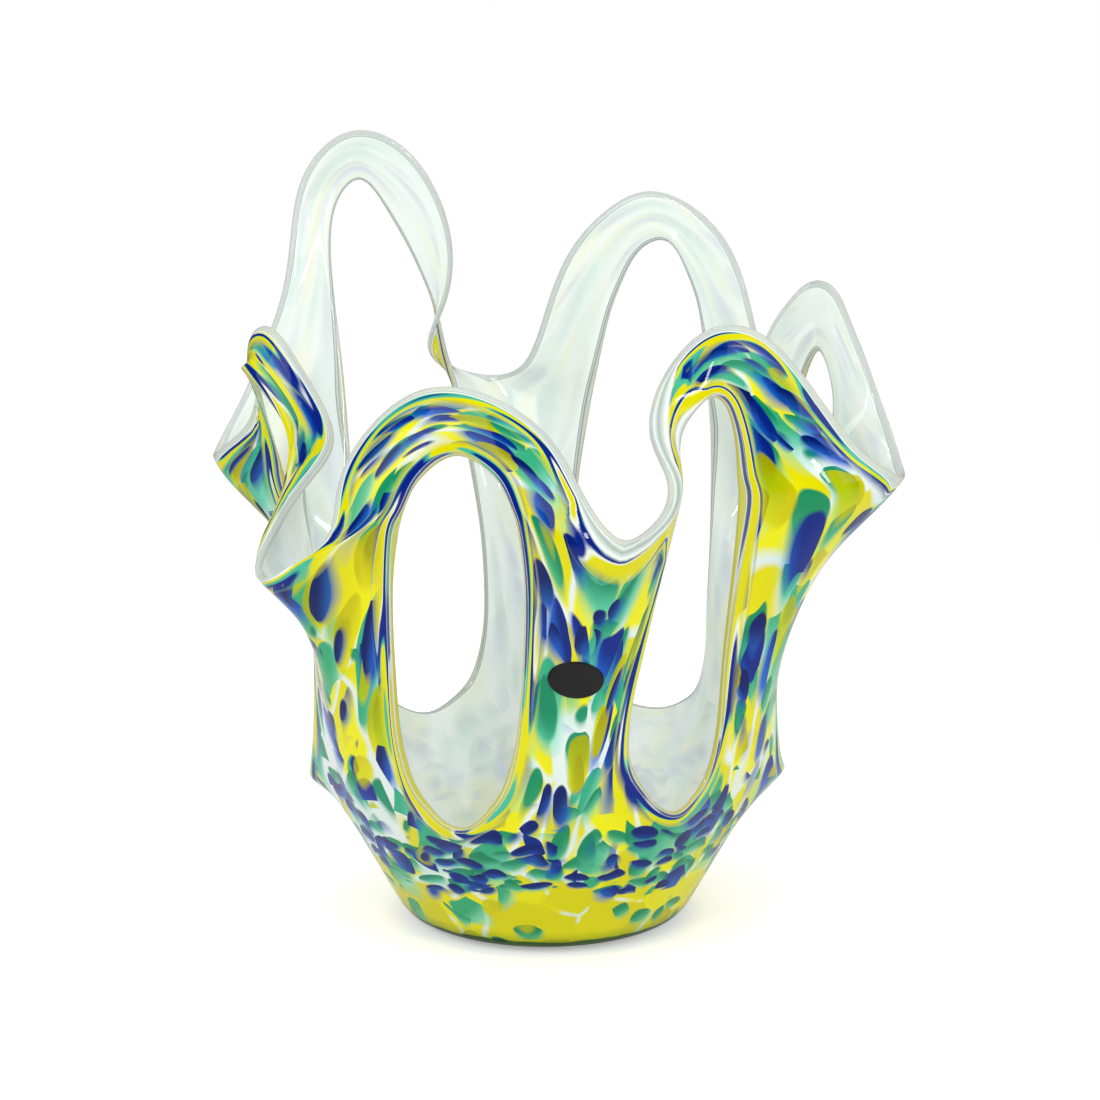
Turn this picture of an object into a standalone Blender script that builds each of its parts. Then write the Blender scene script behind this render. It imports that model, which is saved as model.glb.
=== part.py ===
"""Hand-pulled art glass vase: one blown piece with six windows, six lips and six arches.

The bowl was blown, six windows were opened in its wall, and the hot rim was pulled into a lip
over every pillar and an arch over every window. Sizes are millimetres until they become mesh
points, which are metres. The origin is the middle of the foot, +Z is up and -Y is the front.
"""

import math
from dataclasses import dataclass

import bmesh
import bpy
from mathutils import Matrix, Vector
from mathutils.geometry import interpolate_bezier

METRES_PER_MM = 0.001
MERGE_DISTANCE = 0.00001

# Foot and bowl
FOOT_RADIUS = 44.0
HEEL_RADIUS = 58.5
HEEL_HEIGHT = 7.0
HEEL_ROUND = 12.0
SHOULDER_RADIUS = 78.0
SHOULDER_HEIGHT = 42.0

# Pillars between the windows; a rise is counted from the bowl's shoulder
WAIST_RADIUS = 90.0
WAIST_RISE = 30.0
LIP_LEAN_SHARE = 0.65
LIP_LEAN_POWER = 1.7
LIP_CURL_POWER = 8.0
LIP_TURN_POWER = 1.5

# Glass
WALL = 4.5
BASE_THICKNESS = 9.0
WALL_THINNING_POWER = 0.5
BAND_CROWN = 2.0

# Oval label on the front pillar
LABEL_WIDTH = 20.0
LABEL_HEIGHT = 14.0
LABEL_THICKNESS = 0.3
LABEL_CLEARANCE = 0.3
LABEL_BEARING = -83.0
LABEL_RISE = 75.0
LABEL_TILT = -4.0

# Segments of the cages, each of which Subdivision Surface halves
SILL_SEGMENTS = 5
PILLAR_SEGMENTS = 6
RIM_SEGMENTS = 12
BOWL_SEGMENTS = 3
HEEL_SEGMENTS = 2
LABEL_SEGMENTS = 10
SUBDIVISIONS = 1
CURVE_STEPS = 12
HOLD_ROUNDS = 3


@dataclass(frozen=True)
class Place:
    """A point of the pulled glass: bearing in degrees, then millimetres out and up.

    out is counted from the waist of the pillars, rise from the shoulder of the bowl.
    """

    bearing: float
    out: float
    rise: float

    def point(self):
        return around_axis(self.bearing, WAIST_RADIUS + self.out, SHOULDER_HEIGHT + self.rise)


@dataclass(frozen=True)
class Arch:
    """The loop pulled up over one window, with the lip that its rim starts from.

    The rim runs anticlockwise seen from above: neck, leg, shoulder, crest, shoulder, leg and
    neck. The window runs from its sill up the far side, which is the next lip's: corner, jamb,
    spring, haunch and head, then down the near side: haunch, spring, jamb and corner.
    """

    lip: Place
    rim: tuple
    window: tuple


# Where a window's list turns from sill to side and from side to head
FAR_CORNER_INDEX, FAR_SPRING_INDEX, NEAR_SPRING_INDEX, NEAR_CORNER_INDEX = 1, 3, 7, 9

FRONT_LEFT = Arch(
    lip=Place(-149, 34.5, 106),
    rim=(
        Place(-138, 18, 124), Place(-139, 10, 146), Place(-135.5, -4.5, 167),
        Place(-120.5, -13, 179),
        Place(-100, -13, 174), Place(-86.5, -4, 160), Place(-81.5, 9, 144),
    ),
    window=(
        Place(-110.5, 0, 15),
        Place(-100, 0, 33), Place(-95.5, 0, 83.5), Place(-97.5, 0, 131), Place(-102.5, -2, 148),
        Place(-112.5, -5, 154),
        Place(-120.5, -2, 145), Place(-124.5, 0, 128), Place(-129, -2, 80), Place(-124, -1, 32),
    ),
)

FRONT_RIGHT = Arch(
    lip=Place(-75, 24, 130),
    rim=(
        Place(-64, 17, 142), Place(-65.5, 1, 166), Place(-57, -6, 188),
        Place(-41.5, 0.5, 201),
        Place(-32, 14.5, 188.5), Place(-25.5, 26, 168), Place(-22, 38, 151),
    ),
    window=(
        Place(-58, 0, 19),
        Place(-45, -2, 32), Place(-40.5, -2, 77), Place(-41, 2, 134), Place(-44, 4, 164),
        Place(-48.5, 4, 174),
        Place(-56, 2, 164), Place(-59, 6, 134.5), Place(-63, 3, 103), Place(-69, 0, 43),
    ),
)

RIGHT = Arch(
    lip=Place(-16.5, 50, 139.5),
    rim=(
        Place(-8.5, 47.5, 141.5), Place(-5.5, 39, 163.5), Place(2.5, 29.5, 188.5),
        Place(11.5, 22, 205.5),
        Place(23, 16, 194.5), Place(33, 16, 173), Place(35.5, 28, 157),
    ),
    window=(
        Place(2, 6, 14.5),
        Place(16.5, 5, 28), Place(21, 5, 60), Place(20, 9, 110), Place(17, 14, 148),
        Place(8.5, 18, 177),
        Place(0, 21, 160), Place(-7.5, 12, 112), Place(-11.5, 2.5, 60), Place(-8.5, 4, 28),
    ),
)

BACK_RIGHT = Arch(
    lip=Place(36, 40, 148),
    rim=(
        Place(40, 31, 162), Place(40, 22, 180), Place(46, 17.5, 213),
        Place(63, 9.5, 233),
        Place(80, 5.5, 217), Place(90, 9, 185), Place(94, 17, 161),
    ),
    window=(
        Place(57.5, 1, 18),
        Place(75.5, 0, 27), Place(81.5, 0, 83), Place(77, 3.5, 145), Place(70.5, 7, 194),
        Place(61.5, 8, 213),
        Place(53, 10, 192), Place(47, 6, 136), Place(43, 2, 76), Place(44.5, 1, 33),
    ),
)

BACK_LEFT = Arch(
    lip=Place(103, 31, 152),
    rim=(
        Place(114.5, 28, 162), Place(111.5, 20, 183), Place(112, 14.5, 222.5),
        Place(128, 23.5, 259),
        Place(140, 36.5, 242.5), Place(146, 39, 193), Place(152, 48, 154),
    ),
    window=(
        Place(124, -1, 17),
        Place(142.5, 0, 36), Place(145.5, 3, 86), Place(140, 13, 149), Place(135, 32, 220),
        Place(130, 31, 237),
        Place(118.5, 25, 204), Place(111, 20, 147), Place(107, 2, 78), Place(110.5, -1, 33),
    ),
)

LEFT = Arch(
    lip=Place(161.5, 51, 131.5),
    rim=(
        Place(168, 33, 144), Place(168.5, 23, 155), Place(170, 27.5, 178.5),
        Place(175, 19.5, 190.5),
        Place(183, 1, 173), Place(192.5, -9, 147), Place(200.5, 11, 130),
    ),
    window=(
        Place(178, 4, 10.5),
        Place(188, 2.5, 37), Place(190.5, 1.5, 77), Place(192, 3.5, 126), Place(187, 7, 148.5),
        Place(177.5, 28, 173.5),
        Place(168.5, 22, 151), Place(166.5, 14, 121), Place(165.5, 3, 56), Place(168.5, 4, 20.5),
    ),
)

ARCHES = (FRONT_LEFT, FRONT_RIGHT, RIGHT, BACK_RIGHT, BACK_LEFT, LEFT)


def around_axis(bearing, reach, height):
    """Point at a bearing in degrees, a reach from the axis and a height."""
    angle = math.radians(bearing)
    return Vector((reach * math.cos(angle), reach * math.sin(angle), height))


def bearing_of(point):
    return math.degrees(math.atan2(point.y, point.x))


def reach_of(point):
    return math.hypot(point.x, point.y)


def blend(start, end, share):
    return start + (end - start) * share


def turn_between(start, end):
    """Shorter way round from one bearing to another, in degrees."""
    return (end - start + 180.0) % 360.0 - 180.0


def smooth_span(before, start, end, after):
    """Fine points of the smooth curve through four points, from start to just before end."""
    first = math.sqrt((start - before).length)
    middle = math.sqrt((end - start).length)
    last = math.sqrt((after - end).length)
    chord = (end - start) / middle
    leave = (start - before) / first - (end - before) / (first + middle) + chord
    arrive = chord - (after - start) / (middle + last) + (after - end) / last
    handle_start = start + leave * middle / 3.0
    handle_end = end - arrive * middle / 3.0
    return interpolate_bezier(start, handle_start, handle_end, end, CURVE_STEPS)[:-1]


def even_points(fine, spans):
    """Points at equal lengths along a fine polyline."""
    lengths = [0.0]
    for start, end in zip(fine, fine[1:]):
        lengths.append(lengths[-1] + (end - start).length)
    points = []
    index = 0
    for step in range(spans + 1):
        wanted = lengths[-1] * step / spans
        while index < len(fine) - 2 and lengths[index + 1] < wanted:
            index += 1
        share = (wanted - lengths[index]) / (lengths[index + 1] - lengths[index])
        points.append(fine[index].lerp(fine[index + 1], share))
    return points


def stretch(loop, first, last, spans):
    """Even points along a closed smooth curve, from one of its control points to another."""
    fine = []
    for index in range(first, first + (last - first) % len(loop)):
        nearby = [loop[(index + step) % len(loop)] for step in (-1, 0, 1, 2)]
        fine.extend(smooth_span(*nearby))
    fine.append(loop[last % len(loop)])
    return even_points(fine, spans)


def held_out(wanted):
    """Cage points of a closed edge, set out so that the subdivided edge keeps its place.

    Subdivision draws each point of an edge a sixth of the way towards each of its neighbours.
    """
    cage = list(wanted)
    for _ in range(HOLD_ROUNDS):
        ring = zip(cage, cage[1:] + cage[:1], cage[-1:] + cage[:-1])
        drawn_in = [(point * 4.0 + after + before) / 6.0 for point, after, before in ring]
        cage = [point + goal - drawn for point, goal, drawn in zip(cage, wanted, drawn_in)]
    return cage


def rim_edge():
    """The whole rim as one closed row, starting at the first arch's lip."""
    loop = []
    for arch in ARCHES:
        loop.append(arch.lip.point())
        loop.extend(place.point() for place in arch.rim)
    per_arch = 1 + len(FRONT_LEFT.rim)
    row = []
    for start in range(0, len(loop), per_arch):
        row.extend(stretch(loop, start, start + per_arch, RIM_SEGMENTS)[:-1])
    return held_out(row)


def window_edge(arch):
    """The edge of a window as one closed row: sill, far side, head and near side."""
    loop = [place.point() for place in arch.window]
    turns = (
        NEAR_CORNER_INDEX, FAR_CORNER_INDEX, FAR_SPRING_INDEX, NEAR_SPRING_INDEX, NEAR_CORNER_INDEX,
    )
    spans = (SILL_SEGMENTS, PILLAR_SEGMENTS, RIM_SEGMENTS, PILLAR_SEGMENTS)
    row = []
    for first, last, count in zip(turns, turns[1:], spans):
        row.extend(stretch(loop, first, last, count)[:-1])
    return held_out(row)


def window_side(window, far):
    """A window's far or near side, from the sill's corner up to the spring of the arch."""
    if far:
        return window[SILL_SEGMENTS:SILL_SEGMENTS + PILLAR_SEGMENTS + 1]
    return [window[0]] + window[:-PILLAR_SEGMENTS - 1:-1]


def flared(share):
    """How far a lip has reached out at a share of its rise: a slow lean, then a curl at the tip."""
    lean = LIP_LEAN_SHARE * share ** LIP_LEAN_POWER
    return lean + (1.0 - LIP_LEAN_SHARE) * share ** LIP_CURL_POWER


def pillar_line(lip, window_before, window_after):
    """Middle of a pillar, from the bowl's shoulder up to the tip of its lip."""
    far_side = window_side(window_before, far=True)
    near_side = window_side(window_after, far=False)
    waist_height = SHOULDER_HEIGHT + WAIST_RISE
    line = []
    for step in range(PILLAR_SEGMENTS + 1):
        height = blend(SHOULDER_HEIGHT, lip.z, step / PILLAR_SEGMENTS)
        start = bearing_of(far_side[step])
        bearing = start + turn_between(start, bearing_of(near_side[step])) / 2.0
        if height <= waist_height:
            swell = math.sin((height - SHOULDER_HEIGHT) / WAIST_RISE * math.pi / 2.0)
            line.append(around_axis(bearing, blend(SHOULDER_RADIUS, WAIST_RADIUS, swell), height))
            continue
        flare = (height - waist_height) / (lip.z - waist_height)
        bearing += turn_between(bearing, bearing_of(lip)) * flare ** LIP_TURN_POWER
        reach = blend(WAIST_RADIUS, reach_of(lip), flared(flare))
        line.append(around_axis(bearing, reach, height))
    return line


def shoulder_stretch(start_root, end_root, reach, height):
    """Points round the bowl at one height, between the bearings of two pillars."""
    start = bearing_of(start_root)
    turn = turn_between(start, bearing_of(end_root))
    return [around_axis(start + turn * i / SILL_SEGMENTS, reach, height) for i in range(SILL_SEGMENTS)]


def bowl_profile():
    """Reach and height of the bowl's rows, from the shoulder down to inside the foot."""
    profile = []
    for step in range(BOWL_SEGMENTS):
        share = 1.0 - step / BOWL_SEGMENTS
        reach = blend(HEEL_RADIUS, SHOULDER_RADIUS, share)
        profile.append((reach, blend(HEEL_HEIGHT, SHOULDER_HEIGHT, share)))
    for step in range(HEEL_SEGMENTS + 1):
        angle = math.pi / 2.0 * step / HEEL_SEGMENTS
        reach = HEEL_RADIUS - HEEL_ROUND * (1.0 - math.cos(angle))
        profile.append((reach, HEEL_HEIGHT * (1.0 - math.sin(angle))))
    profile.append((FOOT_RADIUS, 0.0))
    profile.append((FOOT_RADIUS / 2.0, 0.0))
    return profile


def middle_row(window, outer):
    """The row of points half way between a window's edge and what is round it.

    A pillar is round across, so its row lies further out, as half way round a quarter circle
    does. The band of an arch stands a crown proud of its two edges.
    """
    row = []
    for index, (inside, outside) in enumerate(zip(window, outer)):
        turn = turn_between(bearing_of(inside), bearing_of(outside))
        over_sill = index <= SILL_SEGMENTS
        rim_start = SILL_SEGMENTS + PILLAR_SEGMENTS
        over_window = rim_start < index < rim_start + RIM_SEGMENTS
        rounding = 0.5 if over_sill or over_window else math.sin(math.pi / 4.0)
        reach = blend(reach_of(inside), reach_of(outside), rounding)
        if over_window:
            reach += BAND_CROWN
        height = blend(inside.z, outside.z, 0.5)
        row.append(around_axis(bearing_of(inside) + turn / 2.0, reach, height))
    return row


def add_strip(mesh, upper, lower):
    """Quads between two closed rows of points, facing out where upper is above lower."""
    for index in range(len(upper)):
        after = (index + 1) % len(upper)
        corners = (lower[index], lower[after], upper[after], upper[index])
        mesh.faces.new([mesh.verts.new(corner * METRES_PER_MM) for corner in corners])


def vase_cage():
    """Coarse outer skin of the whole vase, open at the rim and at the six windows."""
    mesh = bmesh.new()
    rim = rim_edge()
    windows = [window_edge(arch) for arch in ARCHES]
    pillars = [
        pillar_line(rim[i * RIM_SEGMENTS], windows[i - 1], windows[i])
        for i in range(len(ARCHES))
    ]
    rows = [[] for _ in bowl_profile()]
    for index in range(len(ARCHES)):
        near, far = pillars[index], pillars[(index + 1) % len(ARCHES)]
        for row, (reach, height) in zip(rows, bowl_profile()):
            row.extend(shoulder_stretch(near[0], far[0], reach, height))
        sill = rows[0][-SILL_SEGMENTS:]
        over = rim[index * RIM_SEGMENTS + 1:(index + 1) * RIM_SEGMENTS]
        outer = sill + far + over[::-1] + near[:0:-1]
        middle = middle_row(windows[index], outer)
        add_strip(mesh, windows[index], middle)
        add_strip(mesh, middle, outer)
    for upper, lower in zip(rows, rows[1:]):
        add_strip(mesh, upper, lower)
    mesh.faces.new([mesh.verts.new(point * METRES_PER_MM) for point in reversed(rows[-1])])
    bmesh.ops.remove_doubles(mesh, verts=mesh.verts, dist=MERGE_DISTANCE)
    return mesh


def label_cage():
    """Flat oval of quads: a square grid whose rows and columns are bent into an oval."""
    mesh = bmesh.new()
    bmesh.ops.create_grid(mesh, x_segments=LABEL_SEGMENTS, y_segments=LABEL_SEGMENTS, size=1.0)
    for vertex in mesh.verts:
        x, y = vertex.co.x, vertex.co.y
        vertex.co.x = x * math.sqrt(1.0 - y * y / 2.0) * LABEL_WIDTH / 2.0 * METRES_PER_MM
        vertex.co.y = y * math.sqrt(1.0 - x * x / 2.0) * LABEL_HEIGHT / 2.0 * METRES_PER_MM
    return mesh


def make_material(name, colour, roughness, transmission=0.0):
    material = bpy.data.materials.new(name)
    material.use_nodes = True
    shader = material.node_tree.nodes["Principled BSDF"]
    shader.inputs["Base Color"].default_value = colour
    shader.inputs["Roughness"].default_value = roughness
    shader.inputs["Metallic"].default_value = 0.0
    shader.inputs["Transmission Weight"].default_value = transmission
    return material


def make_object(name, mesh, material, collection):
    data = bpy.data.meshes.new(name)
    mesh.to_mesh(data)
    mesh.free()
    data.materials.append(material)
    data.shade_smooth()
    made = bpy.data.objects.new(name, data)
    collection.objects.link(made)
    return made


def make_vase(collection):
    """The blown body: its outer skin, given a wall inwards that is thickest in the foot."""
    opal = make_material("cased_opal_glass", (0.80, 0.78, 0.22, 1.0), 0.06, 0.15)
    vase = make_object("vase", vase_cage(), opal, collection)
    thickness = vase.vertex_groups.new(name="wall_thickness")
    for vertex in vase.data.vertices:
        height = vertex.co.z / METRES_PER_MM
        share = min(height / SHOULDER_HEIGHT, 1.0)
        weight = blend(1.0, WALL / BASE_THICKNESS, share ** WALL_THINNING_POWER)
        thickness.add([vertex.index], weight, "REPLACE")
    wall = vase.modifiers.new("wall", "SOLIDIFY")
    wall.thickness = BASE_THICKNESS * METRES_PER_MM
    wall.offset = -1.0
    wall.vertex_group = thickness.name
    smooth = vase.modifiers.new("fire_polish", "SUBSURF")
    smooth.levels = SUBDIVISIONS
    smooth.render_levels = SUBDIVISIONS
    return vase


def make_label(vase, collection):
    """Thin oval label that follows the front pillar, just clear of the glass."""
    black = make_material("black_foil", (0.02, 0.02, 0.02, 1.0), 0.35)
    label = make_object("oval_label", label_cage(), black, collection)
    outward = around_axis(LABEL_BEARING, 1.0, 0.0)
    sideways = Vector((-outward.y, outward.x, 0.0))
    upright = Matrix((sideways, Vector((0.0, 0.0, 1.0)), outward)).transposed().to_4x4()
    in_front = WAIST_RADIUS + LABEL_WIDTH
    place = around_axis(LABEL_BEARING, in_front, SHOULDER_HEIGHT + LABEL_RISE) * METRES_PER_MM
    tilt = Matrix.Rotation(math.radians(LABEL_TILT), 4, "Z")
    label.matrix_world = Matrix.Translation(place) @ upright @ tilt
    wrap = label.modifiers.new("lay_on_glass", "SHRINKWRAP")
    wrap.target = vase
    wrap.wrap_method = "PROJECT"
    wrap.use_project_z = True
    wrap.use_positive_direction = False
    wrap.use_negative_direction = True
    wrap.offset = LABEL_CLEARANCE * METRES_PER_MM
    foil = label.modifiers.new("foil", "SOLIDIFY")
    foil.thickness = LABEL_THICKNESS * METRES_PER_MM
    foil.offset = 1.0
    return label


def main():
    for item in list(bpy.data.objects):
        bpy.data.objects.remove(item, do_unlink=True)
    collection = bpy.data.collections.new("art_glass_vase")
    bpy.context.scene.collection.children.link(collection)
    vase = make_vase(collection)
    make_label(vase, collection)


main()
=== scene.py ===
"""Looks of the hand-pulled art glass vase: cased glass, milky lining, clear edges and a label.

The vase was blown as a plain bubble, rolled in coloured chips, opened by six windows and
pulled into six lips and six arches. So each point of its skin has two places here: one in the
pulled vase, which gives the shape, and one in the blown form, which gives the chips their place
and lets the pull stretch them. Sizes are millimetres until they become mesh points, which are
metres. The origin is the middle of the foot, +Z is up and -Y is the front.
"""

import logging
import math
from dataclasses import dataclass
from enum import IntEnum, StrEnum
from typing import Any, Sequence

import bmesh
import bpy
from bpy.types import ID, Material, Mesh, Node, NodeSocket, NodeTree, Object, SolidifyModifier
from mathutils import Matrix, Vector
from mathutils.geometry import interpolate_bezier
from mathutils.kdtree import KDTree


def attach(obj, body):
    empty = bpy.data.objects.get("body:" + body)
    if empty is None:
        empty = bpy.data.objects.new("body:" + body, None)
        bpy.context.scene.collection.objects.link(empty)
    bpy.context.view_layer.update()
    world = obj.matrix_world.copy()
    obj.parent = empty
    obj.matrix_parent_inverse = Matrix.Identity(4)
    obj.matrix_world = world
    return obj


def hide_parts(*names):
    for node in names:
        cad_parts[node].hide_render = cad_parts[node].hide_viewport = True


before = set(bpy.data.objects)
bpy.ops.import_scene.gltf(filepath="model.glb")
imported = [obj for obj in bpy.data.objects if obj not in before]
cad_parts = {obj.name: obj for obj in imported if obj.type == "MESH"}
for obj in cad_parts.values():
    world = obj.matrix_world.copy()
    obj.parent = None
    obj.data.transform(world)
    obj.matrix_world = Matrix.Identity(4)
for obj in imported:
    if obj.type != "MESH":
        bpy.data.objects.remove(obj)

log = logging.getLogger("art_glass_vase")

METRES_PER_MM = 0.001
GLASS_IOR = 1.5
WHITE = "#FFFFFF"

ColourStops = list[tuple[float, tuple[float, ...]]]


class Skin(IntEnum):
    """Material slots of the vase, one for each kind of surface."""

    CASING = 0
    LINING = 1
    EDGE = 2


class Reading(StrEnum):
    """What each point of the vase carries for its materials to read."""

    BLOWN = "blown"  # place in the blown form, in millimetres
    FROM_EDGE = "from_edge"  # millimetres from the nearest edge, fitted to the clear band there
    AT_WINDOW = "at_window"  # 1 below the windows' tops, 0 at the rim
    ACROSS_EDGE = "across_edge"  # 0 on the casing's side of the edge, 1 on the lining's


def blend(start: float, end: float, share: float) -> float:
    """Value at a share of the way from start to end."""
    return start + (end - start) * share


def around_axis(bearing: float, reach: float, height: float) -> Vector:
    """Point at a bearing in degrees, a reach from the axis and a height."""
    angle = math.radians(bearing)
    return Vector((reach * math.cos(angle), reach * math.sin(angle), height))


def bearing_of(point: Vector) -> float:
    """Bearing of a point round the axis, in degrees."""
    return math.degrees(math.atan2(point.y, point.x))


def reach_of(point: Vector) -> float:
    """Distance of a point from the axis."""
    return math.hypot(point.x, point.y)


def turn_between(start: float, end: float) -> float:
    """Shorter way round from one bearing to another, in degrees."""
    return (end - start + 180.0) % 360.0 - 180.0


def add_object(name: str, data: ID) -> Object:
    """Adds an object to the scene.

    Args:
        name: the object's name.
        data: its mesh, lamp or camera.

    Returns:
        The object.
    """
    made = bpy.data.objects.new(name, data)
    bpy.context.scene.collection.objects.link(made)
    return made


def mesh_object(name: str, mesh: bmesh.types.BMesh) -> Object:
    """Adds an object made from a bmesh, which it frees.

    Args:
        name: the object's and the mesh's name.
        mesh: the finished bmesh.

    Returns:
        The object.
    """
    data = bpy.data.meshes.new(name)
    mesh.to_mesh(data)
    mesh.free()
    return add_object(name, data)


def apply_modifiers(piece: Object) -> Mesh:
    """Turns a piece's modifiers into mesh.

    Args:
        piece: the object, which keeps no modifier.

    Returns:
        Its new mesh.
    """
    depsgraph = bpy.context.evaluated_depsgraph_get()
    data = bpy.data.meshes.new_from_object(piece.evaluated_get(depsgraph))
    piece.modifiers.clear()
    piece.data = data
    return data


@dataclass(frozen=True)
class Smooth:
    """Smooth curves through given points, and even points along them."""

    curve_steps: int = 12
    hold_rounds: int = 3

    def span(self, before: Vector, start: Vector, end: Vector, after: Vector) -> list[Vector]:
        """Fine points of the curve through four points.

        Args:
            before, start, end, after: the four points, of which the middle two bound the span.

        Returns:
            Points from start to just before end.
        """
        first = math.sqrt((start - before).length)
        middle = math.sqrt((end - start).length)
        last = math.sqrt((after - end).length)
        chord = (end - start) / middle
        leave = (start - before) / first - (end - before) / (first + middle) + chord
        arrive = chord - (after - start) / (middle + last) + (after - end) / last
        handle_start = start + leave * middle / 3.0
        handle_end = end - arrive * middle / 3.0
        return interpolate_bezier(start, handle_start, handle_end, end, self.curve_steps)[:-1]

    def stretch(self, loop: Sequence[Vector], first: int, last: int, spans: int) -> list[Vector]:
        """Even points along a closed curve.

        Args:
            loop: the curve's own points, of which the last joins the first.
            first, last: the points of the loop between which the stretch runs.
            spans: number of equal lengths.

        Returns:
            spans + 1 points.
        """
        fine: list[Vector] = []
        for index in range(first, first + (last - first) % len(loop)):
            nearby = [loop[(index + step) % len(loop)] for step in (-1, 0, 1, 2)]
            fine.extend(self.span(*nearby))
        fine.append(loop[last % len(loop)])
        return self.even(fine, spans)

    def even(self, fine: Sequence[Vector], spans: int) -> list[Vector]:
        """Points at equal lengths along a fine polyline.

        Args:
            fine: the polyline.
            spans: number of equal lengths.

        Returns:
            spans + 1 points.
        """
        lengths = [0.0]
        for start, end in zip(fine, fine[1:]):
            lengths.append(lengths[-1] + (end - start).length)
        points = []
        index = 0
        for step in range(spans + 1):
            wanted = lengths[-1] * step / spans
            while index < len(fine) - 2 and lengths[index + 1] < wanted:
                index += 1
            share = (wanted - lengths[index]) / (lengths[index + 1] - lengths[index])
            points.append(fine[index].lerp(fine[index + 1], share))
        return points

    def held_out(self, wanted: Sequence[Vector]) -> list[Vector]:
        """Cage points of a closed edge, set out so that the subdivided edge keeps its place.

        The subdivided edge runs where a cubic B-spline does, which gives a point four sixths
        and each neighbour one sixth.

        Args:
            wanted: where the subdivided edge shall run.

        Returns:
            As many cage points.
        """
        cage = list(wanted)
        for _ in range(self.hold_rounds):
            ring = zip(cage, cage[1:] + cage[:1], cage[-1:] + cage[:-1])
            drawn_in = [(point * 4.0 + after + before) / 6.0 for point, after, before in ring]
            cage = [point + goal - drawn for point, goal, drawn in zip(cage, wanted, drawn_in)]
        return cage


@dataclass(frozen=True)
class Place:
    """A point of the pulled glass: bearing in degrees, then millimetres out and up.

    out is counted from the waist of the pillars, rise from the shoulder of the bowl.
    """

    bearing: float
    out: float
    rise: float


@dataclass(frozen=True)
class Arch:
    """The loop pulled up over one window, with the lip that its rim starts from.

    The rim runs anticlockwise seen from above: neck, leg, shoulder, crest, shoulder, leg and
    neck. The window runs from its sill up the far side, which is the next lip's: corner, jamb,
    spring, haunch and head, then down the near side: haunch, spring, jamb and corner.
    """

    lip: Place
    rim: tuple[Place, ...]
    window: tuple[Place, ...]


# Where a window's list turns from sill to side and from side to head
FAR_CORNER, FAR_SPRING, NEAR_SPRING, NEAR_CORNER = 1, 3, 7, 9

FRONT_LEFT = Arch(
    lip=Place(-149, 34.5, 106),
    rim=(
        Place(-138, 18, 124), Place(-139, 10, 146), Place(-135.5, -4.5, 167),
        Place(-120.5, -13, 179),
        Place(-100, -13, 174), Place(-86.5, -4, 160), Place(-81.5, 9, 144),
    ),
    window=(
        Place(-110.5, 0, 15),
        Place(-100, 0, 33), Place(-95.5, 0, 83.5), Place(-97.5, 0, 131), Place(-102.5, -2, 148),
        Place(-112.5, -5, 154),
        Place(-120.5, -2, 145), Place(-124.5, 0, 128), Place(-129, -2, 80), Place(-124, -1, 32),
    ),
)

FRONT_RIGHT = Arch(
    lip=Place(-75, 24, 130),
    rim=(
        Place(-64, 17, 142), Place(-65.5, 1, 166), Place(-57, -6, 188),
        Place(-41.5, 0.5, 201),
        Place(-32, 14.5, 188.5), Place(-25.5, 26, 168), Place(-22, 38, 151),
    ),
    window=(
        Place(-58, 0, 19),
        Place(-45, -2, 32), Place(-40.5, -2, 77), Place(-41, 2, 134), Place(-44, 4, 164),
        Place(-48.5, 4, 174),
        Place(-56, 2, 164), Place(-59, 6, 134.5), Place(-63, 3, 103), Place(-69, 0, 43),
    ),
)

RIGHT = Arch(
    lip=Place(-16.5, 50, 139.5),
    rim=(
        Place(-8.5, 47.5, 141.5), Place(-5.5, 39, 163.5), Place(2.5, 29.5, 188.5),
        Place(11.5, 22, 205.5),
        Place(23, 16, 194.5), Place(33, 16, 173), Place(35.5, 28, 157),
    ),
    window=(
        Place(2, 6, 14.5),
        Place(16.5, 5, 28), Place(21, 5, 60), Place(20, 9, 110), Place(17, 14, 148),
        Place(8.5, 18, 177),
        Place(0, 21, 160), Place(-7.5, 12, 112), Place(-11.5, 2.5, 60), Place(-8.5, 4, 28),
    ),
)

BACK_RIGHT = Arch(
    lip=Place(36, 40, 148),
    rim=(
        Place(40, 31, 162), Place(40, 22, 180), Place(46, 17.5, 213),
        Place(63, 9.5, 233),
        Place(80, 5.5, 217), Place(90, 9, 185), Place(94, 17, 161),
    ),
    window=(
        Place(57.5, 1, 18),
        Place(75.5, 0, 27), Place(81.5, 0, 83), Place(77, 3.5, 145), Place(70.5, 7, 194),
        Place(61.5, 8, 213),
        Place(53, 10, 192), Place(47, 6, 136), Place(43, 2, 76), Place(44.5, 1, 33),
    ),
)

BACK_LEFT = Arch(
    lip=Place(103, 31, 152),
    rim=(
        Place(114.5, 28, 162), Place(111.5, 20, 183), Place(112, 14.5, 222.5),
        Place(128, 23.5, 259),
        Place(140, 36.5, 242.5), Place(146, 39, 193), Place(152, 48, 154),
    ),
    window=(
        Place(124, -1, 17),
        Place(142.5, 0, 36), Place(145.5, 3, 86), Place(140, 13, 149), Place(135, 32, 220),
        Place(130, 31, 237),
        Place(118.5, 25, 204), Place(111, 20, 147), Place(107, 2, 78), Place(110.5, -1, 33),
    ),
)

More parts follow.
